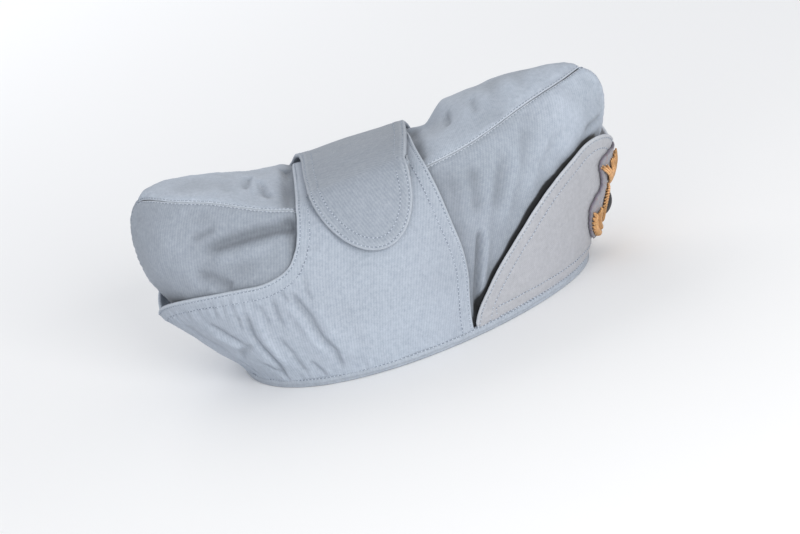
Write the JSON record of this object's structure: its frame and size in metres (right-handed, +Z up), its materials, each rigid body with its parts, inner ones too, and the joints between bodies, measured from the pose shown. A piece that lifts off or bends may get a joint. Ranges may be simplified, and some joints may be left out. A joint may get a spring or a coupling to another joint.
{
  "type": "military cap",
  "caption": "Soft twill field cap with a boat-shaped crown, folded-up ear flaps buttoned over the top by a tongue, a folded-up peak and an embroidered front badge.",
  "frame": {"origin": "middle of the rim's rest plane, at the bottom centre of the cap's box", "axes": "+X is the front of the cap, +Y the wearer's left, +Z up from the rim"},
  "size_m": [0.2859, 0.1629, 0.1223],
  "materials": {
    "twill": "matte blue-grey cotton twill",
    "peak_twill": "matte grey cotton twill, stiffened",
    "patch_cloth": "matte grey felt",
    "gold_thread": "satin metallic embroidery thread",
    "black_cloth": "matte black cloth",
    "snap_metal": "plain snap fastener"
  },
  "bodies": {
    "root": {"rim_band": "twill", "crown_side_right": "twill", "crown_side_left": "twill", "crown_top": "twill", "flap_right": "twill", "flap_left": "twill", "snap": "snap_metal", "peak": "peak_twill", "badge_backing": "patch_cloth", "badge_flame": "gold_thread", "badge_ring": "gold_thread", "badge_boss": "black_cloth", "badge_branch_right": "gold_thread", "badge_branch_left": "gold_thread"}
  },
  "joints": []
}
